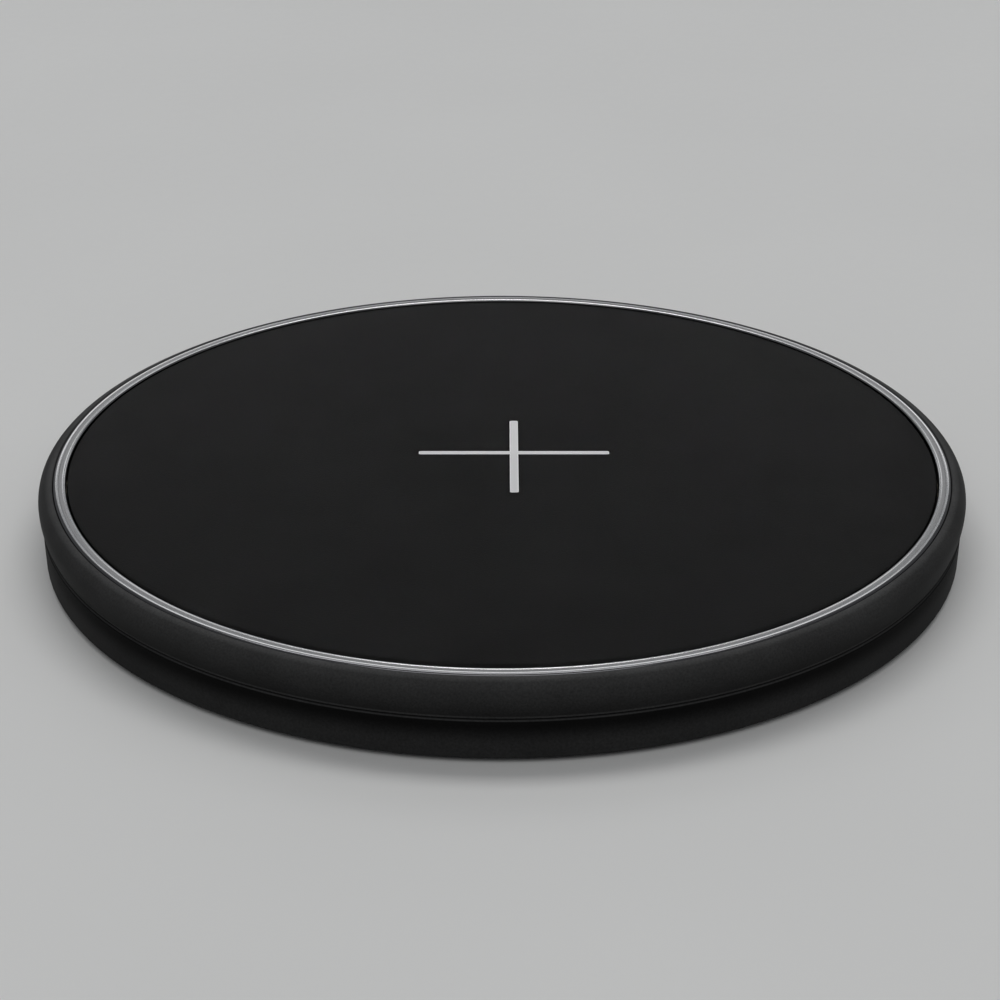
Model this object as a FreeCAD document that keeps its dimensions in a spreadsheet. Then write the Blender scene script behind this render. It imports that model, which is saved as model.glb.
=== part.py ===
import FreeCAD, Part
import Sketcher
import math
import os

# Round wireless charging pad.  Millimetres, +Z up, origin on the desk under
# the pad's centre.  The charging socket opens towards +Y, at the back.

V = FreeCAD.Vector
doc = FreeCAD.newDocument("ChargingPad")

# ---------------------------------------------------------------------------
# Driving dimensions
# ---------------------------------------------------------------------------
SIZES = {
    # upper housing: the bulging side wall and the deck inside it
    "bulge_radius": 50.0,
    "bulge_height": 7.0,
    "shoulder_arc": 1.75,
    "belly_arc": 5.09,
    "deck_bore_radius": 38.5,
    "deck_under": 6.65,
    "deck_top": 7.5,
    "channel_radius": 48.4,
    "upper_inner_radius": 47.9,
    "rebate_radius": 48.55,
    "rebate_top": 5.55,
    "reveal_radius": 49.1,
    "reveal_gap": 0.15,
    "edge_round": 0.15,
    # base cover: the flat-sided lower band and the floor
    "parting_height": 4.65,
    "base_top_radius": 49.7,
    "base_foot_radius": 49.6,
    "base_inner_radius": 47.95,
    "base_under": 0.5,
    "floor_thick": 1.4,
    "tongue_radius": 48.5,
    "tongue_top": 5.45,
    "base_foot_round": 0.35,
    # trim ring
    "ring_inner_radius": 47.0,
    "ring_outer_radius": 48.35,
    "ring_top": 8.82,
    "ring_film": 0.1,
    "ring_edge_round": 0.25,
    "ring_dish_width": 0.55,
    "ring_dish_arc": 0.78,
    "ring_dish_inset": 0.15,
    # top cover and its mark
    "cover_radius": 46.85,
    "cover_top": 8.6,
    "cover_thick": 1.0,
    "cover_film_inner": 39.0,
    "cover_film_outer": 46.5,
    "mark_wide": 21.14,
    "mark_deep": 19.0,
    "mark_upright": 1.24,
    "mark_cross": 1.08,
    "mark_offset": 1.3,
    "mark_back": 0.18,
    "mark_lift": 0.74,
    "mark_round": 0.35,
    "mark_sunk": 0.2,
    "mark_proud": 0.03,
    "mark_gap": 0.15,
    # foot ring under the base
    "foot_inner_radius": 38.6,
    "foot_outer_radius": 45.4,
    "foot_gap": 0.15,
    "foot_thick": 1.1,
    "foot_film": 0.1,
    "foot_round": 0.2,
    # housing screws, up through the base under the foot ring
    "pillar_circle": 42.0,
    "pillar_radius": 3.0,
    "pillar_top": 3.6,
    "sink_radius": 2.1,
    "sink_top": 2.6,
    "clear_radius": 1.2,
    "upper_boss_radius": 2.6,
    "housing_pilot": 1.0,
    "housing_pilot_top": 7.0,
    "housing_shank": 0.98,
    "housing_shank_long": 4.0,
    "housing_head": 1.9,
    "housing_head_tall": 1.2,
    # carrier and board bosses on the floor
    "carrier_circle": 30.5,
    "carrier_boss_radius": 2.3,
    "board_circle": 28.0,
    "board_boss_radius": 2.5,
    "small_pilot": 0.8,
    "small_shank": 0.78,
    "small_head": 1.5,
    "small_head_tall": 0.7,
    "small_clear": 0.9,
    "carrier_pilot_deep": 2.6,
    "carrier_shank_long": 3.0,
    "board_pilot_deep": 1.4,
    "board_shank_long": 2.1,
    "cross_width": 0.5,
    "cross_deep": 0.35,
    # circuit board
    "board_radius": 34.0,
    "board_under": 2.6,
    "board_thick": 0.8,
    "board_boss_hole": 2.6,
    "tab_half_width": 8.0,
    "tab_end": 46.5,
    "notch_half_width": 4.55,
    "notch_start": 41.4,
    "tab_rest_radius": 1.1,
    "tab_rest_side": 6.5,
    "tab_rest_back": 43.2,
    # coil carrier, ferrite, coil
    "carrier_radius": 34.0,
    "carrier_under": 4.7,
    "carrier_thick": 0.6,
    "rim_inner_radius": 26.6,
    "rim_outer_radius": 27.8,
    "rim_top": 6.35,
    "ferrite_radius": 26.2,
    "ferrite_thick": 1.0,
    "sensor_hole_radius": 2.0,
    "coil_film": 0.1,
    "coil_film_inner": 10.2,
    "coil_film_outer": 22.5,
    "wire_radius": 0.525,
    "coil_start_radius": 10.8,
    "coil_pitch": 1.1,
    "coil_turns": 10.0,
    "lead_bend": 1.5,
    "lead_window": 2.4,
    "lead_window_half": 0.9,
    "lead_window_back": 0.1,
    "lead_hole": 0.8,
    # charging socket, its opening and the indicator beside it
    "port_height": 4.4,
    "port_half_width": 4.8,
    "port_half_height": 1.9,
    "port_cut_start": 45.0,
    "port_cut_long": 6.0,
    "shell_half_width": 4.47,
    "shell_half_height": 1.63,
    "shell_wall": 0.3,
    "shell_front": 48.9,
    "shell_back": 41.6,
    "wing_start": 4.05,
    "wing_end": 5.5,
    "wing_long": 1.2,
    "wing_thick": 0.3,
    "block_back": 41.7,
    "block_front": 43.5,
    "block_gap": 0.02,
    "tongue_wide": 6.69,
    "tongue_thick": 0.54,
    "tongue_tip": 47.95,
    "contact_pitch": 0.5,
    "contact_wide": 0.25,
    "contact_thick": 0.06,
    "contact_long": 3.9,
    "tail_thick": 0.12,
    "tail_end": 40.6,
    "lamp_side": 6.6,
    "lamp_height": 3.55,
    "lamp_radius": 0.75,
    "lamp_gap": 0.03,
    "lamp_front": 49.2,
    "lamp_back": 46.6,
    "lamp_flange": 1.2,
    "lamp_flange_thick": 0.65,
}

sheet = doc.addObject("Spreadsheet::Sheet", "Sizes")
for row, (word, value) in enumerate(SIZES.items(), start=1):
    sheet.set("A%d" % row, word)
    sheet.set("B%d" % row, "%g" % value)
    sheet.setAlias("B%d" % row, word)
doc.recompute()

# Heights that several pieces share, worked out from the sheet.
FLOOR_TOP = "(Sizes.base_under + Sizes.floor_thick)"
FOOT_SEAT = "(Sizes.foot_thick + Sizes.foot_film)"
BOARD_TOP = "(Sizes.board_under + Sizes.board_thick)"
CARRIER_TOP = "(Sizes.carrier_under + Sizes.carrier_thick)"
FERRITE_TOP = "(%s + Sizes.ferrite_thick)" % CARRIER_TOP
COIL_SEAT = "(%s + Sizes.coil_film)" % FERRITE_TOP
COIL_LEVEL = "(%s + Sizes.wire_radius)" % COIL_SEAT
COVER_UNDER = "(Sizes.cover_top - Sizes.cover_thick)"
RING_UNDER = "(Sizes.deck_top + Sizes.ring_film)"

HOUSING_ANGLES = (45, 135, 225, 315)
CARRIER_ANGLES = (30, 150, 270)
BOARD_ANGLES = (90, 210, 330)

pieces = []


def value_of(expression):
    """The number that an expression on the sheet's words gives now."""
    found = sheet.evalExpression(expression.replace("Sizes.", ""))
    return float(getattr(found, "Value", found))


def on_circle(radius, angle):
    """Expressions for the point at an angle, in degrees, on a circle."""
    across = "%s * cos(%d)" % (radius, angle)
    along = "%s * sin(%d)" % (radius, angle)
    return across, along


# ---------------------------------------------------------------------------
# Bodies, sketches and features
# ---------------------------------------------------------------------------
def new_body(node):
    """An empty body whose label is the node's name."""
    body = doc.addObject("PartDesign::Body", node)
    body.Label = node
    body.AllowCompound = True
    pieces.append(body)
    return body


def new_sketch(body, name, role, offset=None):
    """A sketch on one of the body's own origin planes, moved along its normal."""
    plane = [item for item in body.Origin.OriginFeatures if item.Role == role][0]
    sketch = body.newObject("Sketcher::SketchObject", name)
    sketch.AttachmentSupport = [(plane, "")]
    sketch.MapMode = "FlatFace"
    if offset is not None:
        sketch.setExpression("AttachmentOffset.Base.z", offset)
    return sketch


def pin_point(sketch, curve, end, across, along):
    """Ties one end or centre of a curve to a place given by two expressions."""
    for kind, axis, expression in (("DistanceX", -2, across), ("DistanceY", -1, along)):
        number = value_of(expression)
        if abs(number) < 1e-9:
            sketch.addConstraint(Sketcher.Constraint("PointOnObject", curve, end, axis))
        else:
            index = sketch.addConstraint(
                Sketcher.Constraint(kind, -1, 1, curve, end, number))
            sketch.setExpression("Constraints[%d]" % index, expression)


def draw_outline(sketch, corners):
    """A closed outline of lines and arcs.

    Each corner is (across, along) where a line leaves it, or (across, along,
    radius, side) where an arc leaves it.  The arc's bulge lies to the right of
    the way to the next corner when side is 1 and to the left when it is -1.
    """
    spots = [(value_of(corner[0]), value_of(corner[1])) for corner in corners]
    count = len(corners)
    curves = []
    for index, corner in enumerate(corners):
        start = V(spots[index][0], spots[index][1], 0)
        end = V(spots[(index + 1) % count][0], spots[(index + 1) % count][1], 0)
        if len(corner) == 2:
            curves.append((sketch.addGeometry(Part.LineSegment(start, end)), 1, 2))
            continue
        radius = value_of(corner[2])
        chord = end - start
        right = V(chord.y, -chord.x, 0).normalize() * corner[3]
        rise = radius - math.sqrt(radius ** 2 - (chord.Length / 2) ** 2)
        middle = (start + end) * 0.5 + right * rise
        if corner[3] > 0:
            number = sketch.addGeometry(Part.Arc(start, middle, end))
            curves.append((number, 1, 2))
        else:
            number = sketch.addGeometry(Part.Arc(end, middle, start))
            curves.append((number, 2, 1))
        sketch.addConstraint(Sketcher.Constraint("Radius", number, radius))
        sketch.setExpression("Constraints[%d]" % (sketch.ConstraintCount - 1), corner[2])
    for index, (curve, start_end, _) in enumerate(curves):
        before, _, last_end = curves[index - 1]
        sketch.addConstraint(
            Sketcher.Constraint("Coincident", before, last_end, curve, start_end))
        pin_point(sketch, curve, start_end, corners[index][0], corners[index][1])


def draw_circles(sketch, circles):
    """Circles, each given as (across, along, radius)."""
    for across, along, radius in circles:
        centre = V(value_of(across), value_of(along), 0)
        curve = sketch.addGeometry(Part.Circle(centre, V(0, 0, 1), value_of(radius)))
        index = sketch.addConstraint(
            Sketcher.Constraint("Radius", curve, value_of(radius)))
        sketch.setExpression("Constraints[%d]" % index, radius)
        pin_point(sketch, curve, 3, across, along)


def oblong(half_width, half_height, height):
    """Corners of a flat-sided opening with fully round ends, on the XZ plane."""
    straight = "(%s - %s)" % (half_width, half_height)
    low = "%s - %s" % (height, half_height)
    high = "%s + %s" % (height, half_height)
    level = "%s" % height
    left = "-%s" % straight
    return [
        (left, low),
        (straight, low, half_height, 1),
        (half_width, level, half_height, 1),
        (straight, high),
        (left, high, half_height, 1),
        ("-%s" % half_width, level, half_height, 1),
    ]


def turn(body, name, corners):
    """Revolves an outline of (radius, height) corners about the pad's axis."""
    sketch = new_sketch(body, name + "Section", "XZ_Plane")
    draw_outline(sketch, corners)
    solid = body.newObject("PartDesign::Revolution", name)
    solid.Profile = sketch
    solid.ReferenceAxis = (sketch, ["V_Axis"])
    solid.Angle = 360
    doc.recompute()
    return solid


def raise_from(body, name, sketch, length):
    """Pads a sketch along its plane's normal."""
    solid = body.newObject("PartDesign::Pad", name)
    solid.Profile = sketch
    solid.setExpression("Length", length)
    doc.recompute()
    return solid


def sink_from(body, name, sketch, length):
    """Pockets a sketch against its plane's normal and checks that it cut."""
    before = body.Shape.Volume
    cut = body.newObject("PartDesign::Pocket", name)
    cut.Profile = sketch
    cut.setExpression("Length", length)
    doc.recompute()
    if body.Shape.Volume > before - 1e-4:
        raise RuntimeError("%s in %s cut nothing" % (name, body.Label))
    return cut


def round_edges(body, name, places, radius):
    """Rounds the full circles that lie at the given (radius, height) places."""
    base = body.Tip
    names = []
    for number, edge in enumerate(base.Shape.Edges, start=1):
        if not isinstance(edge.Curve, Part.Circle):
            continue
        for reach, height in places:
            near_radius = abs(edge.Curve.Radius - reach) < 0.02
            near_height = abs(edge.Curve.Center.z - height) < 0.02
            if near_radius and near_height and edge.Curve.Center.x ** 2 < 1e-6:
                names.append("Edge%d" % number)
    fillet = body.newObject("PartDesign::Fillet", name)
    fillet.Base = (base, names)
    fillet.setExpression("Radius", radius)
    doc.recompute()
    return fillet


def arc_reach(arc_radius, height):
    """Radius of the side wall at a height, on the arc of the given radius."""
    return "(Sizes.bulge_radius - %s + sqrt(%s ^ 2 - (%s - Sizes.bulge_height) ^ 2))" % (
        arc_radius, arc_radius, height)


# ---------------------------------------------------------------------------
# Boxes, cylinders and groups
# ---------------------------------------------------------------------------
def new_box(name, west, south, under, wide, deep, tall):
    """A box from its lowest corner and its three lengths, as expressions."""
    box = doc.addObject("Part::Box", name)
    for prop, expression in (
            ("Placement.Base.x", west), ("Placement.Base.y", south),
            ("Placement.Base.z", under), ("Length", wide),
            ("Width", deep), ("Height", tall)):
        box.setExpression(prop, expression)
    return box


def new_rod(name, across, along, under, radius, tall):
    """An upright cylinder from its foot, radius and length, as expressions."""
    rod = doc.addObject("Part::Cylinder", name)
    for prop, expression in (
            ("Placement.Base.x", across), ("Placement.Base.y", along),
            ("Placement.Base.z", under), ("Radius", radius), ("Height", tall)):
        rod.setExpression(prop, expression)
    return rod


def fused(name, members):
    """One solid out of several that share faces or volume."""
    union = doc.addObject("Part::MultiFuse", name)
    union.Shapes = members
    return union


def cut_away(name, base, tool):
    """The base without the tool."""
    cut = doc.addObject("Part::Cut", name)
    cut.Base = base
    cut.Tool = tool
    return cut


def group(node, members):
    """Separate solids that make one node."""
    gathered = doc.addObject("Part::Compound", node)
    gathered.Label = node
    gathered.Links = members
    pieces.append(gathered)
    return gathered


def chip(name, centre, size, under=BOARD_TOP):
    """A soldered part: a box from its centre and its size, in millimetres."""
    wide, deep, tall = size
    return new_box(name, "%g - %g" % (centre[0], wide / 2),
                   "%g - %g" % (centre[1], deep / 2), under,
                   "%g" % wide, "%g" % deep, "%g" % tall)


def chips(node, centres, size):
    """Several alike soldered parts in one node."""
    return group(node, [chip("%s%d" % (node.title().replace("_", ""), index), centre, size)
                        for index, centre in enumerate(centres, start=1)])


def screw(name, spot, seat, sizes, upright):
    """A pan-head screw with a cross recess; upright means its head is below.

    seat is the height of the face under the head, and sizes gives the head's
    radius and height, the shank's radius and the shank's length.
    """
    head_radius, head_tall, shank_radius, shank_long = sizes
    across, along = spot
    cross_foot = "%s + %s - Sizes.cross_deep" % (seat, head_tall)
    head_foot = seat
    shank_foot = "%s - %s" % (seat, shank_long)
    if upright:
        cross_foot = "%s - %s" % (seat, head_tall)
        head_foot = "%s - %s" % (seat, head_tall)
        shank_foot = seat
    head = new_rod(name + "Head", across, along, head_foot, head_radius, head_tall)
    shank = new_rod(name + "Shank", across, along, shank_foot, shank_radius, shank_long)
    reach = "(1.3 * %s)" % head_radius
    bar = new_box(name + "Bar", "%s - %s / 2" % (across, reach),
                  "%s - Sizes.cross_width / 2" % along, cross_foot,
                  reach, "Sizes.cross_width", "Sizes.cross_deep")
    stem = new_box(name + "Stem", "%s - Sizes.cross_width / 2" % across,
                   "%s - %s / 2" % (along, reach), cross_foot,
                   "Sizes.cross_width", reach, "Sizes.cross_deep")
    return cut_away(name, fused(name + "Blank", [head, shank]),
                    fused(name + "Recess", [bar, stem]))


def screws(node, circle, angles, seat, sizes, upright):
    """Alike screws on a circle, in one node."""
    title = node.title().replace("_", "")
    return group(node, [screw("%s%d" % (title, angle), on_circle(circle, angle),
                              seat, sizes, upright) for angle in angles])


def plain_ring(node, inner, outer, under, top):
    """A flat ring of rectangular section."""
    body = new_body(node)
    turn(body, "Ring", [(inner, under), (outer, under), (outer, top), (inner, top)])
    return body


# ---------------------------------------------------------------------------
# Foot ring and its film
# ---------------------------------------------------------------------------
foot = plain_ring("foot_ring", "Sizes.foot_inner_radius", "Sizes.foot_outer_radius",
                  "0", "Sizes.foot_thick")
round_edges(foot, "FootRound",
            [(SIZES["foot_inner_radius"], 0.0), (SIZES["foot_outer_radius"], 0.0)],
            "Sizes.foot_round")
plain_ring("foot_ring_adhesive", "Sizes.foot_inner_radius", "Sizes.foot_outer_radius",
           "Sizes.foot_thick", FOOT_SEAT)

# ---------------------------------------------------------------------------
# Base cover
# ---------------------------------------------------------------------------
base = new_body("base_cover")
groove_inner = "Sizes.foot_inner_radius - Sizes.foot_gap"
groove_outer = "Sizes.foot_outer_radius + Sizes.foot_gap"
turn(base, "Tray", [
    ("0", "Sizes.base_under"),
    (groove_inner, "Sizes.base_under"),
    (groove_inner, FOOT_SEAT),
    (groove_outer, FOOT_SEAT),
    (groove_outer, "Sizes.base_under"),
    ("Sizes.base_foot_radius", "Sizes.base_under"),
    ("Sizes.base_top_radius", "Sizes.parting_height - Sizes.edge_round"),
    ("Sizes.base_top_radius - Sizes.edge_round", "Sizes.parting_height"),
    ("Sizes.tongue_radius", "Sizes.parting_height"),
    ("Sizes.tongue_radius", "Sizes.tongue_top"),
    ("Sizes.base_inner_radius", "Sizes.tongue_top"),
    ("Sizes.base_inner_radius", FLOOR_TOP),
    ("0", FLOOR_TOP),
])
round_edges(base, "FootEdge", [(SIZES["base_foot_radius"], SIZES["base_under"])],
            "Sizes.base_foot_round")

# Bosses stand on the floor: each entry is circle, angles, radius and height.
FLOOR_BOSSES = {
    "Pillars": ("Sizes.pillar_circle", HOUSING_ANGLES, "Sizes.pillar_radius",
                "Sizes.pillar_top"),
    "CarrierBosses": ("Sizes.carrier_circle", CARRIER_ANGLES,
                      "Sizes.carrier_boss_radius", "Sizes.carrier_under"),
    "BoardBosses": ("Sizes.board_circle", BOARD_ANGLES, "Sizes.board_boss_radius",
                    "Sizes.board_under"),
}
for name, (circle, angles, radius, top) in FLOOR_BOSSES.items():
    outline = new_sketch(base, name + "Plan", "XY_Plane", FLOOR_TOP)
    draw_circles(outline, [on_circle(circle, angle) + (radius,) for angle in angles])
    raise_from(base, name, outline, "%s - %s" % (top, FLOOR_TOP))

outline = new_sketch(base, "TabRestPlan", "XY_Plane", FLOOR_TOP)
draw_circles(outline, [
    ("Sizes.tab_rest_side", "Sizes.tab_rest_back", "Sizes.tab_rest_radius"),
    ("-Sizes.tab_rest_side", "Sizes.tab_rest_back", "Sizes.tab_rest_radius"),
])
raise_from(base, "TabRests", outline, "Sizes.board_under - %s" % FLOOR_TOP)

# Holes go down from the height in the entry, by the depth in the entry.
FLOOR_HOLES = {
    "ScrewSinks": ("Sizes.pillar_circle", HOUSING_ANGLES, "Sizes.sink_radius",
                   "Sizes.sink_top", "Sizes.sink_top - Sizes.base_under"),
    "ScrewHoles": ("Sizes.pillar_circle", HOUSING_ANGLES, "Sizes.clear_radius",
                   "Sizes.pillar_top", "Sizes.pillar_top - Sizes.sink_top"),
    "CarrierPilots": ("Sizes.carrier_circle", CARRIER_ANGLES, "Sizes.small_pilot",
                      "Sizes.carrier_under", "Sizes.carrier_pilot_deep"),
    "BoardPilots": ("Sizes.board_circle", BOARD_ANGLES, "Sizes.small_pilot",
                    "Sizes.board_under", "Sizes.board_pilot_deep"),
}
for name, (circle, angles, radius, top, depth) in FLOOR_HOLES.items():
    outline = new_sketch(base, name + "Plan", "XY_Plane", top)
    draw_circles(outline, [on_circle(circle, angle) + (radius,) for angle in angles])
    sink_from(base, name, outline, depth)


def cut_port(body):
    """Cuts the socket's opening outwards through the back wall."""
    opening = new_sketch(body, "PortPlan", "XZ_Plane", "-Sizes.port_cut_start")
    draw_outline(opening, oblong("Sizes.port_half_width", "Sizes.port_half_height",
                                 "Sizes.port_height"))
    sink_from(body, "Port", opening, "Sizes.port_cut_long")


cut_port(base)
outline = new_sketch(base, "LampPlan", "XZ_Plane", "-Sizes.port_cut_start")
draw_circles(outline, [("Sizes.lamp_side", "Sizes.lamp_height",
                        "Sizes.lamp_radius + Sizes.lamp_gap")])
sink_from(base, "LampHole", outline, "Sizes.port_cut_long")

# ---------------------------------------------------------------------------
# Upper housing
# ---------------------------------------------------------------------------
upper = new_body("upper_housing")
reveal_top = "(Sizes.parting_height + Sizes.reveal_gap)"
lip_reach = arc_reach("Sizes.belly_arc", reveal_top)
land_height = ("Sizes.bulge_height + sqrt(Sizes.shoulder_arc ^ 2 - (Sizes.channel_radius"
               " - Sizes.bulge_radius + Sizes.shoulder_arc) ^ 2)")
turn(upper, "Wall", [
    ("Sizes.rebate_radius", "Sizes.parting_height"),
    ("Sizes.reveal_radius", "Sizes.parting_height"),
    ("Sizes.reveal_radius", reveal_top),
    (lip_reach, reveal_top, "Sizes.belly_arc", 1),
    ("Sizes.bulge_radius", "Sizes.bulge_height", "Sizes.shoulder_arc", 1),
    ("Sizes.channel_radius", land_height),
    ("Sizes.channel_radius", "Sizes.deck_top"),
    ("Sizes.deck_bore_radius", "Sizes.deck_top"),
    ("Sizes.deck_bore_radius", "Sizes.deck_under"),
    ("Sizes.upper_inner_radius", "Sizes.deck_under"),
    ("Sizes.upper_inner_radius", "Sizes.rebate_top"),
    ("Sizes.rebate_radius", "Sizes.rebate_top"),
])
round_edges(upper, "WallEdges",
            [(value_of(lip_reach), value_of(reveal_top)),
             (SIZES["channel_radius"], value_of(land_height))], "Sizes.edge_round")
outline = new_sketch(upper, "BossPlan", "XY_Plane", "Sizes.pillar_top")
draw_circles(outline, [on_circle("Sizes.pillar_circle", angle)
                       + ("Sizes.upper_boss_radius",) for angle in HOUSING_ANGLES])
raise_from(upper, "Bosses", outline, "Sizes.deck_under - Sizes.pillar_top")
outline = new_sketch(upper, "PilotPlan", "XY_Plane", "Sizes.housing_pilot_top")
draw_circles(outline, [on_circle("Sizes.pillar_circle", angle)
                       + ("Sizes.housing_pilot",) for angle in HOUSING_ANGLES])
sink_from(upper, "Pilots", outline, "Sizes.housing_pilot_top - Sizes.pillar_top")
cut_port(upper)

# ---------------------------------------------------------------------------
# Trim ring, top cover, mark and films
# ---------------------------------------------------------------------------
trim = new_body("trim_ring")
ring_shoulder = "Sizes.ring_top - Sizes.ring_edge_round"
dish_inner = "Sizes.ring_inner_radius + Sizes.ring_edge_round + Sizes.ring_dish_inset"
turn(trim, "Ring", [
    ("Sizes.ring_inner_radius", RING_UNDER),
    ("Sizes.ring_outer_radius", RING_UNDER),
    ("Sizes.ring_outer_radius", ring_shoulder, "Sizes.ring_edge_round", 1),
    ("Sizes.ring_outer_radius - Sizes.ring_edge_round", "Sizes.ring_top"),
    (dish_inner + " + Sizes.ring_dish_width", "Sizes.ring_top", "Sizes.ring_dish_arc", -1),
    (dish_inner, "Sizes.ring_top"),
    ("Sizes.ring_inner_radius + Sizes.ring_edge_round", "Sizes.ring_top",
     "Sizes.ring_edge_round", 1),
    ("Sizes.ring_inner_radius", ring_shoulder),
])
plain_ring("ring_adhesive", "Sizes.ring_inner_radius", "Sizes.ring_outer_radius",
           "Sizes.deck_top", RING_UNDER)


def draw_plus(sketch, inset):
    """A plus of two crossing strokes with rounded ends, moved inwards by the inset.

    The outline is one arm's five corners, turned by a quarter four times.  The
    stroke along X crosses the one along Y at the lift, behind its middle.
    """
    cross = "(Sizes.mark_cross / 2 - %s)" % inset
    upright = "(Sizes.mark_upright / 2 - %s)" % inset
    bend = "(Sizes.mark_round - %s)" % inset
    reaches = ("Sizes.mark_wide / 2", "Sizes.mark_deep / 2 - Sizes.mark_lift",
               "Sizes.mark_wide / 2", "Sizes.mark_deep / 2 + Sizes.mark_lift")
    corners = []
    for quarter, reach in enumerate(reaches):
        half, other = (cross, upright) if quarter % 2 == 0 else (upright, cross)
        tip = "(%s - %s)" % (reach, inset)
        arm = [
            (other, "-" + half),
            ("(%s - %s)" % (tip, bend), "-" + half, bend, 1),
            (tip, "-(%s - %s)" % (half, bend)),
            (tip, "(%s - %s)" % (half, bend), bend, 1),
            ("(%s - %s)" % (tip, bend), half),
        ]
        for out, aside, *arc in arm:
            across, along = [(out, aside), ("-1 * " + aside, out),
                             ("-1 * " + out, "-1 * " + aside),
                             (aside, "-1 * " + out)][quarter]
            corners.append(("Sizes.mark_offset + " + across,
                            "Sizes.mark_back + Sizes.mark_lift + " + along, *arc))
    draw_outline(sketch, corners)


cover = new_body("top_cover")
turn(cover, "Disc", [
    ("0", COVER_UNDER),
    ("Sizes.cover_radius", COVER_UNDER),
    ("Sizes.cover_radius", "Sizes.cover_top"),
    ("0", "Sizes.cover_top"),
])
round_edges(cover, "CoverEdge", [(SIZES["cover_radius"], SIZES["cover_top"])],
            "Sizes.edge_round")
outline = new_sketch(cover, "MarkPlan", "XY_Plane", "Sizes.cover_top")
draw_plus(outline, "0")
sink_from(cover, "MarkRecess", outline, "Sizes.mark_sunk")

mark = new_body("centre_mark")
outline = new_sketch(mark, "MarkPlan", "XY_Plane", "Sizes.cover_top - Sizes.mark_sunk")
draw_plus(outline, "Sizes.mark_gap")
raise_from(mark, "Mark", outline, "Sizes.mark_sunk + Sizes.mark_proud")

plain_ring("cover_adhesive", "Sizes.cover_film_inner", "Sizes.cover_film_outer",
           "Sizes.deck_top", COVER_UNDER)

# ---------------------------------------------------------------------------
# Coil carrier, ferrite shield and coil film
# ---------------------------------------------------------------------------
carrier = new_body("coil_carrier")
turn(carrier, "Plate", [
    ("0", "Sizes.carrier_under"),
    ("Sizes.carrier_radius", "Sizes.carrier_under"),
    ("Sizes.carrier_radius", CARRIER_TOP),
    ("Sizes.rim_outer_radius", CARRIER_TOP),
    ("Sizes.rim_outer_radius", "Sizes.rim_top"),
    ("Sizes.rim_inner_radius", "Sizes.rim_top"),
    ("Sizes.rim_inner_radius", CARRIER_TOP),
    ("0", CARRIER_TOP),
])
coil_end_radius = "(Sizes.coil_start_radius + Sizes.coil_turns * Sizes.coil_pitch)"
outline = new_sketch(carrier, "HolePlan", "XY_Plane", CARRIER_TOP)
draw_circles(outline, [on_circle("Sizes.carrier_circle", angle) + ("Sizes.small_clear",)
                       for angle in CARRIER_ANGLES])
draw_circles(outline, [
    ("0", "0", "Sizes.sensor_hole_radius"),
    ("-Sizes.lead_bend", "-Sizes.coil_start_radius", "Sizes.lead_hole"),
    ("Sizes.lead_bend", "-" + coil_end_radius, "Sizes.lead_hole"),
])
sink_from(carrier, "Holes", outline, "Sizes.carrier_thick")


def cut_lead_windows(body, top, depth):
    """Two windows that let the coil's ends bend down through a flat piece."""
    windows = {
        "InnerWindow": ("-Sizes.lead_window", "Sizes.lead_window_back",
                        "-Sizes.coil_start_radius"),
        "OuterWindow": ("-Sizes.lead_window_back", "Sizes.lead_window",
                        "-" + coil_end_radius),
    }
    for name, (west, east, centre) in windows.items():
        south = "%s - Sizes.lead_window_half" % centre
        north = "%s + Sizes.lead_window_half" % centre
        window = new_sketch(body, name + "Plan", "XY_Plane", top)
        draw_outline(window, [(west, south), (east, south), (east, north), (west, north)])
        sink_from(body, name, window, depth)


ferrite = new_body("ferrite_shield")
turn(ferrite, "Disc", [
    ("Sizes.sensor_hole_radius", CARRIER_TOP),
    ("Sizes.ferrite_radius", CARRIER_TOP),
    ("Sizes.ferrite_radius", FERRITE_TOP),
    ("Sizes.sensor_hole_radius", FERRITE_TOP),
])
cut_lead_windows(ferrite, FERRITE_TOP, "Sizes.ferrite_thick")

film = plain_ring("coil_adhesive", "Sizes.coil_film_inner", "Sizes.coil_film_outer",
                  FERRITE_TOP, COIL_SEAT)
cut_lead_windows(film, COIL_SEAT, "Sizes.coil_film")

# ---------------------------------------------------------------------------
# Charging coil: one wire, wound as half circles whose centres sit a quarter of
# a pitch either side of the axis, with both ends bent down to the board.
# ---------------------------------------------------------------------------
wire = value_of("Sizes.wire_radius")
pitch = value_of("Sizes.coil_pitch")
level = value_of(COIL_LEVEL)
board_top = value_of(BOARD_TOP)
bend = value_of("Sizes.lead_bend")
start_reach = value_of("Sizes.coil_start_radius")
half_turns = int(2 * value_of("Sizes.coil_turns"))
diagonal = bend * math.sqrt(0.5)

path = [
    Part.makeLine(V(-bend, -start_reach, board_top), V(-bend, -start_reach, level - bend)),
    Part.Arc(V(-bend, -start_reach, level - bend),
             V(-diagonal, -start_reach, level - bend + diagonal),
             V(0, -start_reach, level)).toShape(),
]
reach = start_reach
side = -1
for _ in range(half_turns):
    next_reach = reach + pitch / 2
    radius = (reach + next_reach) / 2
    middle = V(-side * radius, side * (reach - radius), level)
    path.append(Part.Arc(V(0, side * reach, level), middle,
                         V(0, -side * next_reach, level)).toShape())
    reach = next_reach
    side = -side
path.append(Part.Arc(V(0, -reach, level), V(diagonal, -reach, level - bend + diagonal),
                     V(bend, -reach, level - bend)).toShape())
path.append(Part.makeLine(V(bend, -reach, level - bend), V(bend, -reach, board_top)))
spine = Part.Wire(path)
section = Part.Wire(Part.makeCircle(wire, V(-bend, -start_reach, board_top), V(0, 0, 1)))
coil = doc.addObject("Part::Feature", "charging_coil")
coil.Label = "charging_coil"
coil.Shape = spine.makePipeShell([section], True, False)
coil.Placement = FreeCAD.Placement()
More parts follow.
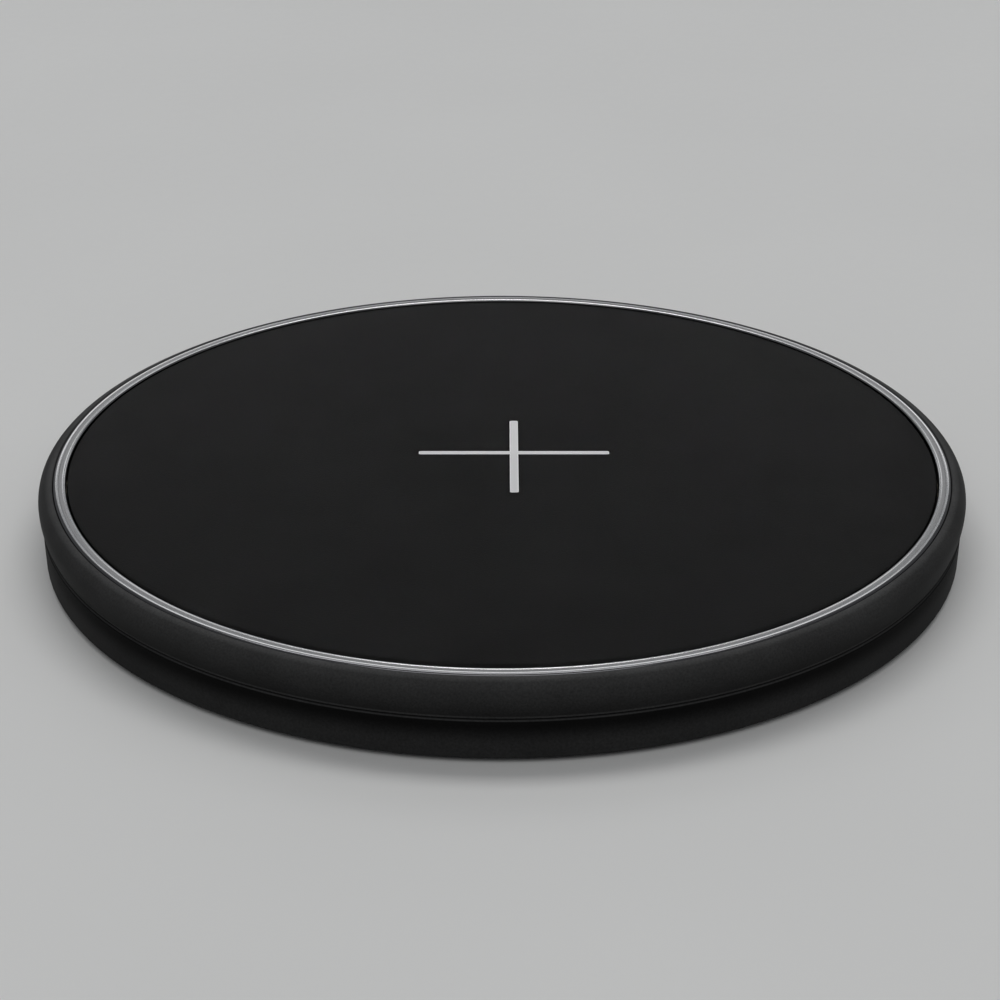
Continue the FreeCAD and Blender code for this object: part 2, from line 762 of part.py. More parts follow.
pieces.append(coil)
print("coil wire %.1f mm long, volume %.2f against %.2f mm3"
      % (spine.Length, coil.Shape.Volume, spine.Length * math.pi * wire ** 2))

# Solder around both coil ends where they meet the board.
joints = []
for name, west, along in (("StartJoint", "-Sizes.lead_bend", "-Sizes.coil_start_radius"),
                          ("EndJoint", "Sizes.lead_bend", "-" + coil_end_radius)):
    cone = doc.addObject("Part::Cone", name + "Cone")
    cone.setExpression("Placement.Base.x", west)
    cone.setExpression("Placement.Base.y", along)
    cone.setExpression("Placement.Base.z", BOARD_TOP)
    cone.setExpression("Radius1", "2 * Sizes.wire_radius")
    cone.setExpression("Radius2", "1.2 * Sizes.wire_radius")
    cone.setExpression("Height", "Sizes.wire_radius")
    core = new_rod(name + "Core", west, along, BOARD_TOP, "Sizes.wire_radius + 0.005",
                   "Sizes.wire_radius")
    joints.append(cut_away(name, cone, core))
group("solder_joints", joints)

# ---------------------------------------------------------------------------
# Circuit board
# ---------------------------------------------------------------------------
board = new_body("circuit_board")
shoulder = "sqrt(Sizes.board_radius ^ 2 - Sizes.tab_half_width ^ 2)"
outline = new_sketch(board, "BoardPlan", "XY_Plane", "Sizes.board_under")
draw_outline(outline, [
    ("-Sizes.tab_half_width", shoulder, "Sizes.board_radius", 1),
    ("-Sizes.board_radius", "0", "Sizes.board_radius", 1),
    ("0", "-Sizes.board_radius", "Sizes.board_radius", 1),
    ("Sizes.board_radius", "0", "Sizes.board_radius", 1),
    ("Sizes.tab_half_width", shoulder),
    ("Sizes.tab_half_width", "Sizes.tab_end"),
    ("Sizes.notch_half_width", "Sizes.tab_end"),
    ("Sizes.notch_half_width", "Sizes.notch_start"),
    ("-Sizes.notch_half_width", "Sizes.notch_start"),
    ("-Sizes.notch_half_width", "Sizes.tab_end"),
    ("-Sizes.tab_half_width", "Sizes.tab_end"),
])
raise_from(board, "Board", outline, "Sizes.board_thick")
outline = new_sketch(board, "BoardHoles", "XY_Plane", BOARD_TOP)
draw_circles(outline, [on_circle("Sizes.carrier_circle", angle)
                       + ("Sizes.board_boss_hole",) for angle in CARRIER_ANGLES])
draw_circles(outline, [on_circle("Sizes.board_circle", angle) + ("Sizes.small_clear",)
                       for angle in BOARD_ANGLES])
sink_from(board, "Holes", outline, "Sizes.board_thick")

# Parts soldered on the board, lower than the gap under the carrier.
chips("controller_chip", [(-11.0, 3.0)], (7.0, 7.0, 0.9))
chips("power_switches", [(-4.0, 14.5), (1.0, 14.5), (6.0, 14.5), (11.0, 14.5)],
      (3.3, 3.3, 0.9))
chips("resonance_capacitors", [(-6.0, -16.0), (-6.0, -19.2), (7.0, -16.0), (7.0, -19.2)],
      (3.2, 2.5, 1.1))
chips("input_capacitors", [(-5.0, 32.2), (5.0, 32.2), (5.0, 29.6)], (3.2, 1.6, 1.1))
chips("clock_crystal", [(-18.5, 3.0)], (2.5, 3.2, 0.75))
chips("chip_passives",
      [(-17.0 + 2.0 * step, row) for row in (9.0, -3.5, -6.0) for step in range(7)],
      (1.0, 0.5, 0.4))
chips("status_led", [(SIZES["lamp_side"], 45.9)], (1.6, 0.8, 0.7))

winding = chip("InductorBlock", (0.0, 37.5), (5.2, 5.2, 2.9))
rounded = doc.addObject("Part::Fillet", "power_inductor")
rounded.Label = "power_inductor"
rounded.Base = winding
doc.recompute()
rounded.Edges = [(number, 0.5, 0.5) for number, edge in
                 enumerate(winding.Shape.Edges, start=1)
                 if abs(edge.Vertexes[0].Z - edge.Vertexes[-1].Z) > 1.0]
pieces.append(rounded)

# Temperature sensor: a bead inside the coil on two legs down to the board.
bead = new_rod("SensorBead", "0", "0", COIL_SEAT, "1.1", "1")
legs = [new_rod("SensorLeg%d" % (index + 1), "%g" % across, "0", BOARD_TOP, "0.2",
                "%s - %s" % (COIL_SEAT, BOARD_TOP))
        for index, across in enumerate((-0.6, 0.6))]
sensor = fused("temperature_sensor", [bead] + legs)
sensor.Label = "temperature_sensor"
pieces.append(sensor)

# ---------------------------------------------------------------------------
# Screws
# ---------------------------------------------------------------------------
housing_sizes = ("Sizes.housing_head", "Sizes.housing_head_tall",
                 "Sizes.housing_shank", "Sizes.housing_shank_long")
carrier_sizes = ("Sizes.small_head", "Sizes.small_head_tall",
                 "Sizes.small_shank", "Sizes.carrier_shank_long")
board_sizes = ("Sizes.small_head", "Sizes.small_head_tall",
               "Sizes.small_shank", "Sizes.board_shank_long")
screws("housing_screws", "Sizes.pillar_circle", HOUSING_ANGLES, "Sizes.sink_top",
       housing_sizes, True)
screws("carrier_screws", "Sizes.carrier_circle", CARRIER_ANGLES, CARRIER_TOP,
       carrier_sizes, False)
screws("board_screws", "Sizes.board_circle", BOARD_ANGLES, BOARD_TOP,
       board_sizes, False)

# ---------------------------------------------------------------------------
# Charging socket: shell, tongue and contacts
# ---------------------------------------------------------------------------
shell = new_body("usb_socket_shell")
outline = new_sketch(shell, "ShellPlan", "XZ_Plane", "-Sizes.shell_front")
draw_outline(outline, oblong("Sizes.shell_half_width", "Sizes.shell_half_height",
                             "Sizes.port_height"))
draw_outline(outline, oblong("(Sizes.shell_half_width - Sizes.shell_wall)",
                             "(Sizes.shell_half_height - Sizes.shell_wall)",
                             "Sizes.port_height"))
raise_from(shell, "Shell", outline, "Sizes.shell_front - Sizes.shell_back")
outline = new_sketch(shell, "WingPlan", "XY_Plane", BOARD_TOP)
for south in (42.5, 45.2):
    for hand in (1, -1):
        near = "%d * Sizes.wing_start" % hand
        far = "%d * Sizes.wing_end" % hand
        front = "%g" % south
        back = "%g + Sizes.wing_long" % south
        draw_outline(outline, [(near, front), (far, front), (far, back), (near, back)])
raise_from(shell, "Wings", outline, "Sizes.wing_thick")

tongue = new_body("usb_socket_tongue")
outline = new_sketch(tongue, "BlockPlan", "XZ_Plane", "-Sizes.block_front")
inner_width = "(Sizes.shell_half_width - Sizes.shell_wall - Sizes.block_gap)"
inner_height = "(Sizes.shell_half_height - Sizes.shell_wall - Sizes.block_gap)"
draw_outline(outline, oblong(inner_width, inner_height, "Sizes.port_height"))
raise_from(tongue, "Block", outline, "Sizes.block_front - Sizes.block_back")
outline = new_sketch(tongue, "TonguePlan", "XZ_Plane", "-Sizes.tongue_tip")
low = "Sizes.port_height - Sizes.tongue_thick / 2"
high = "Sizes.port_height + Sizes.tongue_thick / 2"
draw_outline(outline, [
    ("-Sizes.tongue_wide / 2", low), ("Sizes.tongue_wide / 2", low),
    ("Sizes.tongue_wide / 2", high), ("-Sizes.tongue_wide / 2", high),
])
raise_from(tongue, "Tongue", outline, "Sizes.tongue_tip - Sizes.block_front")

strips = []
for index in range(12):
    west = "%g * Sizes.contact_pitch - Sizes.contact_wide / 2" % (index - 5.5)
    for name, under in (("UpperStrip", high), ("LowerStrip", low + " - Sizes.contact_thick")):
        strips.append(new_box("%s%d" % (name, index + 1), west, "Sizes.block_front", under,
                              "Sizes.contact_wide", "Sizes.contact_long",
                              "Sizes.contact_thick"))
    strips.append(new_box("Tail%d" % (index + 1), west, "Sizes.tail_end", BOARD_TOP,
                          "Sizes.contact_wide", "Sizes.block_back - Sizes.tail_end",
                          "Sizes.tail_thick"))
group("usb_socket_contacts", strips)

# Light pipe: a flanged rod from the board's lamp out through the back wall.
pipe = new_body("light_pipe")
for name, front, radius, length in (
        ("Rod", "-Sizes.lamp_front", "Sizes.lamp_radius", "Sizes.lamp_front - Sizes.lamp_back"),
        ("Flange", "-(Sizes.lamp_back + Sizes.lamp_flange_thick)", "Sizes.lamp_flange",
         "Sizes.lamp_flange_thick")):
    outline = new_sketch(pipe, name + "Plan", "XZ_Plane", front)
    draw_circles(outline, [("Sizes.lamp_side", "Sizes.lamp_height", radius)])
    raise_from(pipe, name, outline, length)

# ---------------------------------------------------------------------------
# Checks and files
# ---------------------------------------------------------------------------
doc.recompute()
for item in doc.Objects:
    if "Invalid" in item.State or "Error" in item.State:
        raise RuntimeError("%s did not compute: %s" % (item.Label, item.State))
for piece in pieces:
    if piece.Shape.isNull() or not piece.Shape.isValid() or not piece.Shape.Solids:
        raise RuntimeError("%s has no valid solid" % piece.Label)

os.makedirs("parts", exist_ok=True)
for piece in pieces:
    box = piece.Shape.BoundBox
    print("%-24s %3d solids %10.2f mm3  x %7.2f %7.2f  y %7.2f %7.2f  z %6.2f %6.2f" % (
        piece.Label, len(piece.Shape.Solids), piece.Shape.Volume,
        box.XMin, box.XMax, box.YMin, box.YMax, box.ZMin, box.ZMax))
    piece.Shape.exportStep("parts/%s.step" % piece.Label)
print("%d nodes" % len(pieces))
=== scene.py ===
import math
import bpy
import numpy as np
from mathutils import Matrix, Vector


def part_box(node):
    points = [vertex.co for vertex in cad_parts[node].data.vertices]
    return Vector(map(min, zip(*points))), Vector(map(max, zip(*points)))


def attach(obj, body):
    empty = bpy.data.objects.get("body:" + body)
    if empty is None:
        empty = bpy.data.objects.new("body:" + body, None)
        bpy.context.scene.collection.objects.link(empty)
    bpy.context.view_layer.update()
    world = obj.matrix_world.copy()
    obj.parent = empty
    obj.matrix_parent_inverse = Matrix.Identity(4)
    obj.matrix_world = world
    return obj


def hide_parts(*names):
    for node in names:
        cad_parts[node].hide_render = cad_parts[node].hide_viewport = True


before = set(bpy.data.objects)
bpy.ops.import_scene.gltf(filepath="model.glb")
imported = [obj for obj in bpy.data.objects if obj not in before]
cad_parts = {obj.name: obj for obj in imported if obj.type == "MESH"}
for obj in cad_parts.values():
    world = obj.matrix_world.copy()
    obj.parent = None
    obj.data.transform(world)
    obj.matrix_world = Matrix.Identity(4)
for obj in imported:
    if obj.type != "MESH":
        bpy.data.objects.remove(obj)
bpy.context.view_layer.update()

MM = 0.001

# ---------------------------------------------------------------------------
# Sizes, in metres, read from the frame or given once here
# ---------------------------------------------------------------------------
RING_LOW, RING_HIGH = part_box("trim_ring")
WALL_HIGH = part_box("upper_housing")[1]
MARK_LOW, MARK_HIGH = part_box("centre_mark")
PLATE_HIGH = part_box("top_cover")[1]
SHELL_LOW, SHELL_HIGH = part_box("usb_socket_shell")

RING_WIDTH = 1.35 * MM
RING_EDGE = 0.25 * MM
RING_OUTER_FALL = 0.5 * MM
RING_DISH = 0.03 * MM
RING_DISH_START = 0.02 * MM
RING_DISH_SLOPE = 0.14 * MM
RING_INNER_BEAD = 0.24 * MM
RING_OUTER_BEAD = 0.42 * MM
RING_BEAD = 0.24 * MM
RING_BRUSHING_SPLIT = (0.6 * MM, 0.8 * MM)

WALL_BULGE_HEIGHT = 7.0 * MM
WALL_SHOULDER = 1.75 * MM
WALL_BELLY = 5.09 * MM
WALL_LIP_HEIGHT = 4.8 * MM
WALL_INNER = 47.9 * MM
WALL_REBATE = 48.55 * MM
WALL_REBATE_TOP = 5.55 * MM
WALL_CHANNEL = 48.4 * MM
DECK_BORE = 38.5 * MM
DECK_UNDER = 6.65 * MM
DECK_TOP = 7.5 * MM
LIP_ROUND = 0.15 * MM

PORT_CLEARANCE = 0.27 * MM
PORT_HEIGHT = (SHELL_LOW.z + SHELL_HIGH.z) / 2
PORT_HALF_HEIGHT = (SHELL_HIGH.z - SHELL_LOW.z) / 2 + PORT_CLEARANCE
PORT_STRAIGHT = 2.9 * MM

MARK_UPRIGHT = 0.94 * MM
MARK_CROSS = 0.78 * MM
MARK_LIFT = 0.74 * MM
MARK_ROUND = 0.2 * MM
MARK_RIM = 0.13 * MM
MARK_RIM_RISE = 0.025 * MM

AROUND = 720
SHARP_ANGLE = math.radians(32)
ARM_END_POINTS = 9
OPENING_MARGIN = (0.02 * MM, 1.2 * MM)
OPENING_GAP = 0.002

PLASTIC_IOR = 1.5
NO_BAND = (-2 * MM, -MM)
NO_CREST = 1.0
CREST_SOFTNESS = 0.24 * MM
DUST_COLOUR = (0.42, 0.41, 0.39, 1.0)


# ---------------------------------------------------------------------------
# Surfaces
# ---------------------------------------------------------------------------
def arc(centre, radius, start, end, count):
    """Points (radius, height) on a circle's arc, from start to end in degrees."""
    turn = np.radians(np.linspace(start, end, count))
    return np.stack([centre[0] + radius * np.cos(turn),
                     centre[1] + radius * np.sin(turn)], axis=1)


def straight(first, last, count):
    """Evenly spaced points on the line between two (radius, height) points."""
    share = np.linspace(0.0, 1.0, count)[:, None]
    return (1 - share) * np.array(first) + share * np.array(last)


def smoothstep(low, high, value):
    """0 below low, 1 above high and an even cubic rise between them."""
    share = np.clip((value - low) / (high - low), 0.0, 1.0)
    return share * share * (3.0 - 2.0 * share)


def closed_grid(name, x, y, z):
    """A surface that closes on itself both ways.

    x, y and z are grids whose rows run around the pad's axis and whose columns
    run counter-clockwise around the section.  Each cell joins a point to the
    next one around and the next one along, so its front faces outwards.
    """
    rows, columns = x.shape
    row, column = np.meshgrid(np.arange(rows), np.arange(columns), indexing="ij")
    here = row * columns + column
    around = ((row + 1) % rows) * columns + column
    both = ((row + 1) % rows) * columns + (column + 1) % columns
    along = row * columns + (column + 1) % columns
    faces = np.stack([here, around, both, along], axis=-1).reshape(-1, 4)
    points = np.stack([x, y, z], axis=-1).reshape(-1, 3)
    mesh = bpy.data.meshes.new(name)
    mesh.from_pydata(points, [], faces)
    mesh.validate()
    mesh.shade_smooth()
    mesh.set_sharp_from_angle(angle=SHARP_ANGLE)
    piece = bpy.data.objects.new(name, mesh)
    bpy.context.scene.collection.objects.link(piece)
    return piece


def turned(name, profile, angles):
    """A closed section of (radius, height) points carried round the axis.

    Each point's x is radius times the angle's cosine and y is radius times its
    sine; its height does not change.
    """
    radius = profile[None, :, 0] * np.ones((len(angles), 1))
    height = profile[None, :, 1] * np.ones((len(angles), 1))
    turn = angles[:, None]
    return closed_grid(name, radius * np.cos(turn), radius * np.sin(turn), height)


def ring_section():
    """The trim ring's section.

    The inner top edge is a quarter circle and the outer one a quarter of a
    flatter ellipse.  Between them the top is level, less a dish that a smooth
    step lets down at each side, so a narrow bead is left inside each edge.
    """
    outer = RING_HIGH.x
    inner = outer - RING_WIDTH
    top = RING_HIGH.z
    across = np.linspace(outer - RING_OUTER_FALL, inner + RING_EDGE, 61)
    start = RING_EDGE + RING_DISH_START
    shelf = RING_OUTER_FALL + RING_DISH_START / 2
    dish = (smoothstep(start, start + RING_DISH_SLOPE, across - inner)
            * smoothstep(shelf, shelf + RING_DISH_SLOPE, outer - across))
    crown = np.stack([across, top - RING_DISH * dish], axis=1)
    fall = (np.array([outer - RING_OUTER_FALL, top - RING_EDGE])
            + arc((0, 0), 1, 0, 90, 31) * np.array([RING_OUTER_FALL, RING_EDGE]))
    return np.concatenate([
        straight((inner, RING_LOW.z), (outer, RING_LOW.z), 5)[:-1],
        straight((outer, RING_LOW.z), (outer, top - RING_EDGE), 6)[:-1],
        fall[:-1],
        crown,
        arc((inner + RING_EDGE, top - RING_EDGE), RING_EDGE, 90, 180, 21)[1:],
        straight((inner, top - RING_EDGE), (inner, RING_LOW.z), 6)[1:-1],
    ])


def wall_reach(height):
    """Radius of the side wall's outer face at a height.

    Below the bulge it is the belly's arc and above it the shoulder's arc; both
    arcs have their widest point at the bulge.
    """
    bend = np.where(height < WALL_BULGE_HEIGHT, WALL_BELLY, WALL_SHOULDER)
    rise = np.clip(height - WALL_BULGE_HEIGHT, -bend, bend)
    return WALL_HIGH.x - bend + np.sqrt(bend ** 2 - rise ** 2)


def port_top(across):
    """Height of the socket opening's upper edge at a distance from its middle.

    Level over the straight part, then a quarter circle down at each end.
    """
    past = np.clip(np.abs(across) - PORT_STRAIGHT, 0.0, PORT_HALF_HEIGHT)
    edge = PORT_HEIGHT + np.sqrt(PORT_HALF_HEIGHT ** 2 - past ** 2)
    return np.where(np.abs(across) < PORT_STRAIGHT + PORT_HALF_HEIGHT, edge, 0.0)


def wall_angles():
    """Angles around the wall: even steps, and close ones over the socket opening."""
    end = math.acos((WALL_LIP_HEIGHT - PORT_HEIGHT) / PORT_HALF_HEIGHT)
    bend = PORT_STRAIGHT + PORT_HALF_HEIGHT * np.sin(np.linspace(0, end, 40))
    outside = np.linspace(bend[-1] + OPENING_MARGIN[0], bend[-1] + OPENING_MARGIN[1], 8)
    side = np.concatenate([bend, outside])
    across = np.concatenate([side, np.linspace(-PORT_STRAIGHT, PORT_STRAIGHT, 25)[1:-1],
                             -side])
    close = math.pi / 2 - np.arcsin(across / WALL_HIGH.x)
    even = np.linspace(0, 2 * math.pi, AROUND, endpoint=False)
    apart = np.abs(np.mod(even - math.pi / 2 + math.pi, 2 * math.pi) - math.pi)
    even = even[apart > np.abs(close - math.pi / 2).max() + OPENING_GAP]
    return np.sort(np.concatenate([even, close]))


def side_wall(name, angles):
    """The bulging side wall with its deck, notched over the socket opening.

    For every angle the section's lowest height is the lip, or the opening's
    upper edge where that is higher.  Lower points are lifted to it.  The outer
    face runs from there up the belly and the shoulder at even shares of height
    and angle.
    """
    turn = angles[:, None]
    behind = np.sin(turn) > 0
    lip_x = wall_reach(WALL_LIP_HEIGHT) * np.cos(turn)
    low = np.maximum(WALL_LIP_HEIGHT, np.where(behind, port_top(lip_x), 0.0))
    ones = np.ones_like(turn)

    corner = np.linspace(0, math.pi / 2, 7)[None, :]
    foot = low + LIP_ROUND
    lip_r = wall_reach(foot) - LIP_ROUND + LIP_ROUND * np.sin(corner)
    lip_z = foot - LIP_ROUND * np.cos(corner)

    share = np.linspace(0, 1, 26)[None, 1:]
    belly_z = foot + (WALL_BULGE_HEIGHT - foot) * share
    belly_r = wall_reach(belly_z)

    top_end = math.degrees(math.acos((WALL_CHANNEL + LIP_ROUND - WALL_HIGH.x
                                      + WALL_SHOULDER) / WALL_SHOULDER))
    shoulder = arc((WALL_HIGH.x - WALL_SHOULDER, WALL_BULGE_HEIGHT), WALL_SHOULDER,
                   0, top_end, 30)[1:]
    crest = shoulder[-1]
    inner_edge = arc((WALL_CHANNEL + LIP_ROUND, crest[1] - LIP_ROUND), LIP_ROUND,
                     90, 180, 7)[1:]
    inside = np.concatenate([
        shoulder, inner_edge,
        straight((WALL_CHANNEL, crest[1] - LIP_ROUND), (WALL_CHANNEL, DECK_TOP), 4)[1:],
        straight((WALL_CHANNEL, DECK_TOP), (DECK_BORE, DECK_TOP), 12)[1:],
        straight((DECK_BORE, DECK_TOP), (DECK_BORE, DECK_UNDER), 3)[1:],
        straight((DECK_BORE, DECK_UNDER), (WALL_INNER, DECK_UNDER), 12)[1:],
        straight((WALL_INNER, DECK_UNDER), (WALL_INNER, WALL_REBATE_TOP), 6)[1:],
        straight((WALL_INNER, WALL_REBATE_TOP), (WALL_REBATE, WALL_REBATE_TOP), 3)[1:],
        straight((WALL_REBATE, WALL_REBATE_TOP), (WALL_REBATE, WALL_LIP_HEIGHT), 4)[1:],
    ])
    radius = np.concatenate([lip_r, belly_r, inside[None, :, 0] * ones], axis=1)
    height = np.concatenate([lip_z, belly_z, inside[None, :, 1] * ones], axis=1)
    x = radius * np.cos(turn)
    y = radius * np.sin(turn)
    floor_here = np.where(behind, port_top(x), 0.0)
    return closed_grid(name, x, y, np.maximum(height, floor_here))


def plus_outline(wide, deep, inset):
    """The outline of a plus with rounded arm ends, moved inwards by the inset.

    One arm is its inner corner and two quarter circles; the other arms are the
    same points turned by a quarter, each with its own reach from the crossing.
    """
    curl = max(MARK_ROUND - inset, 0.02 * MM)
    reaches = (wide / 2, deep / 2 - MARK_LIFT, wide / 2, deep / 2 + MARK_LIFT)
    arms = []
    for quarter, reach in enumerate(reaches):
        strokes = (MARK_CROSS, MARK_UPRIGHT)
        half = strokes[quarter % 2] / 2 - inset
        other = strokes[1 - quarter % 2] / 2 - inset
        tip = reach - inset
        arm = np.concatenate([
            [[other, -half]],
            arc((tip - curl, -half + curl), curl, -90, 0, ARM_END_POINTS),
            arc((tip - curl, half - curl), curl, 0, 90, ARM_END_POINTS),
        ])
        turn = math.radians(90 * quarter)
        spin = np.array([[math.cos(turn), math.sin(turn)],
                         [-math.sin(turn), math.cos(turn)]])
        arms.append(arm @ spin)
    return np.concatenate(arms) + np.array([0.0, MARK_LIFT])


def plus_inlay(name):
    """The plus mark: a bevelled rim carried round its outline, with flat caps.

    Each level is the outline at an inset and a height.  The inset and height
    follow a quarter circle up the outside, a flat rim and a slope down to the
    sunk face in the middle.
    """
    wide = MARK_HIGH.x - MARK_LOW.x
    deep = MARK_HIGH.y - MARK_LOW.y
    middle = ((MARK_HIGH.x + MARK_LOW.x) / 2, (MARK_HIGH.y + MARK_LOW.y) / 2)
    top = MARK_HIGH.z
    edge = MARK_RIM / 3
    rim = arc((edge, top - edge), edge, 180, 90, 7)
    levels = np.concatenate([
        [[0.0, MARK_LOW.z]], rim,
        [[2 * edge, top], [MARK_RIM, top - MARK_RIM_RISE]],
    ])
    loops = []
    for inset, height in levels:
        outline = plus_outline(wide, deep, inset)
        loops.append(np.column_stack([outline, np.full(len(outline), height)]))
    points = np.concatenate(loops) + np.array([middle[0], middle[1], 0.0])
    count = len(loops[0])
    spot = np.arange(count)
    level = np.arange(len(loops) - 1)[:, None] * count
    following = (spot + 1) % count
    sides = np.stack([level + spot, level + following, level + count + following,
                      level + count + spot], axis=-1).reshape(-1, 4)
    faces = sides.tolist()
    faces.append((len(loops) - 1) * count + spot)
    faces.append(spot[::-1])
    mesh = bpy.data.meshes.new(name)
    mesh.from_pydata(points, [], [list(face) for face in faces])
    mesh.validate()
    mesh.shade_smooth()
    mesh.set_sharp_from_angle(angle=SHARP_ANGLE)
    piece = bpy.data.objects.new(name, mesh)
    bpy.context.scene.collection.objects.link(piece)
    return piece


# ---------------------------------------------------------------------------
# Shader groups shared by the materials
# ---------------------------------------------------------------------------
def new_group(name, inputs, outputs):
    """An empty shader group with float inputs and float outputs."""
    tree = bpy.data.node_groups.new(name, "ShaderNodeTree")
    for label, value in inputs:
        socket = tree.interface.new_socket(label, in_out="INPUT",
                                           socket_type="NodeSocketFloat")
        socket.default_value = value
    for label in outputs:
        tree.interface.new_socket(label, in_out="OUTPUT", socket_type="NodeSocketFloat")
    entry = tree.nodes.new("NodeGroupInput")
    leave = tree.nodes.new("NodeGroupOutput")
    return tree, entry, leave


def add(tree, kind, operation=None, **values):
    """A node with its operation, and its inputs by name or, as i0 or i1, by number."""
    node = tree.nodes.new(kind)
    if operation is not None:
        node.operation = operation
    for label, value in values.items():
        key = int(label[1:]) if label[0] == "i" and label[1:].isdigit() else label
        node.inputs[key].default_value = value
    return node


def join(tree, source, target, out=0, into=0):
    """Links one node's output to another node's input."""
    tree.links.new(source.outputs[out], target.inputs[into])


def moulded_grain():
    """Fine even grain: quick noise for height, slow noise for shade."""
    tree, entry, leave = new_group("Moulded grain",
                                   [("Grain size", 0.2 * MM), ("Patch size", 6 * MM)],
                                   ["Height", "Shade"])
    place = add(tree, "ShaderNodeTexCoord")
    for label, detail, target in (("Grain size", 3.0, "Height"), ("Patch size", 2.0, "Shade")):
        rate = add(tree, "ShaderNodeMath", "DIVIDE", i0=1.0)
        join(tree, entry, rate, label, 1)
        spread = add(tree, "ShaderNodeVectorMath", "SCALE")
        join(tree, place, spread, "Object", 0)
        join(tree, rate, spread, 0, "Scale")
        noise = add(tree, "ShaderNodeTexNoise", Scale=1.0, Detail=detail, Roughness=0.55)
        join(tree, spread, noise, 0, "Vector")
        join(tree, noise, leave, "Fac", target)
    return tree


def turning_marks():
    """Marks left by turning: noise drawn out along circles round the axis.

    The place is (cosine, sine) of the angle times the streak count, with the
    radius over the line width as the third part, so the streaks have no seam.
    """
    tree, entry, leave = new_group(
        "Turning marks", [("Line width", 0.06 * MM), ("Streaks", 12.0)],
        ["Lines", "Radius"])
    place = add(tree, "ShaderNodeTexCoord")
    split = add(tree, "ShaderNodeSeparateXYZ")
    join(tree, place, split, "Object", 0)
    flat = add(tree, "ShaderNodeCombineXYZ")
    join(tree, split, flat, "X", "X")
    join(tree, split, flat, "Y", "Y")
    length = add(tree, "ShaderNodeVectorMath", "LENGTH")
    join(tree, flat, length, 0, 0)
    facing = add(tree, "ShaderNodeVectorMath", "NORMALIZE")
    join(tree, flat, facing, 0, 0)
    spread = add(tree, "ShaderNodeVectorMath", "SCALE")
    join(tree, facing, spread, 0, 0)
    join(tree, entry, spread, "Streaks", "Scale")
    line = add(tree, "ShaderNodeMath", "DIVIDE")
    join(tree, length, line, "Value", 0)
    join(tree, entry, line, "Line width", 1)
    ends = add(tree, "ShaderNodeSeparateXYZ")
    join(tree, spread, ends, 0, 0)
    spot = add(tree, "ShaderNodeCombineXYZ")
    join(tree, ends, spot, "X", "X")
    join(tree, ends, spot, "Y", "Y")
    join(tree, line, spot, 0, "Z")
    noise = add(tree, "ShaderNodeTexNoise", Scale=1.0, Detail=4.0, Roughness=0.6)
    join(tree, spot, noise, 0, "Vector")
    join(tree, noise, leave, "Fac", "Lines")
    join(tree, length, leave, "Value", "Radius")
    return tree


def settled_dust():
    """Sparse specks and faint bloom on faces that look up, as a mask."""
    tree, entry, leave = new_group("Settled dust", [("Amount", 0.1), ("Speck size", 0.5 * MM)],
                                   ["Mask"])
    place = add(tree, "ShaderNodeTexCoord")
    rate = add(tree, "ShaderNodeMath", "DIVIDE", i0=1.0)
    join(tree, entry, rate, "Speck size", 1)
    spread = add(tree, "ShaderNodeVectorMath", "SCALE")
    join(tree, place, spread, "Object", 0)
    join(tree, rate, spread, 0, "Scale")
    specks = add(tree, "ShaderNodeTexNoise", Scale=1.0, Detail=5.0, Roughness=0.7)
    join(tree, spread, specks, 0, "Vector")
    sparse = add(tree, "ShaderNodeMapRange", i1=0.55, i2=0.8)
    join(tree, specks, sparse, "Fac", 0)
    surface = add(tree, "ShaderNodeNewGeometry")
    facing = add(tree, "ShaderNodeSeparateXYZ")
    join(tree, surface, facing, "Normal", 0)
    upward = add(tree, "ShaderNodeMapRange", i1=0.2, i2=1.0)
    join(tree, facing, upward, "Z", 0)
    both = add(tree, "ShaderNodeMath", "MULTIPLY")
    join(tree, sparse, both, 0, 0)
    join(tree, upward, both, 0, 1)
    scaled = add(tree, "ShaderNodeMath", "MULTIPLY")
    join(tree, both, scaled, 0, 0)
    join(tree, entry, scaled, "Amount", 1)
    join(tree, scaled, leave, 0, "Mask")
    return tree


GRAIN = moulded_grain()
TURNING = turning_marks()
DUST = settled_dust()


# ---------------------------------------------------------------------------
# Materials
# ---------------------------------------------------------------------------
def new_material(name, metallic, specular, coat=0.0, coat_roughness=0.1):
    """A material whose even values sit on the shader's own sockets."""
    material = bpy.data.materials.new(name)
    material.use_nodes = True
    tree = material.node_tree
    shader = tree.nodes["Principled BSDF"]
    shader.inputs["Metallic"].default_value = metallic
    shader.inputs["Specular IOR Level"].default_value = specular
    shader.inputs["Coat Weight"].default_value = coat
    shader.inputs["Coat Roughness"].default_value = coat_roughness
    shader.inputs["IOR"].default_value = PLASTIC_IOR
    return material, tree, shader


def use_group(tree, group, **values):
    """Places a shared group with this material's own values."""
    node = tree.nodes.new("ShaderNodeGroup")
    node.node_tree = group
    for label, value in values.items():
        node.inputs[label.replace("_", " ")].default_value = value
    return node


def spread_value(tree, source, out, low, high):
    """Maps a 0 to 1 pattern, taken where noise mostly lies, to low to high."""
    spread = add(tree, "ShaderNodeMapRange", i1=0.3, i2=0.7, i3=low, i4=high)
    join(tree, source, spread, out, 0)
    return spread


def tint(tree, source, out, dark, light):
    """A colour between dark and light by a 0 to 1 pattern."""
    mix = tree.nodes.new("ShaderNodeMix")
    mix.data_type = "RGBA"
    mix.inputs[6].default_value = (*dark, 1.0)
    mix.inputs[7].default_value = (*light, 1.0)
    tree.links.new(source.outputs[out], mix.inputs[0])
    return mix


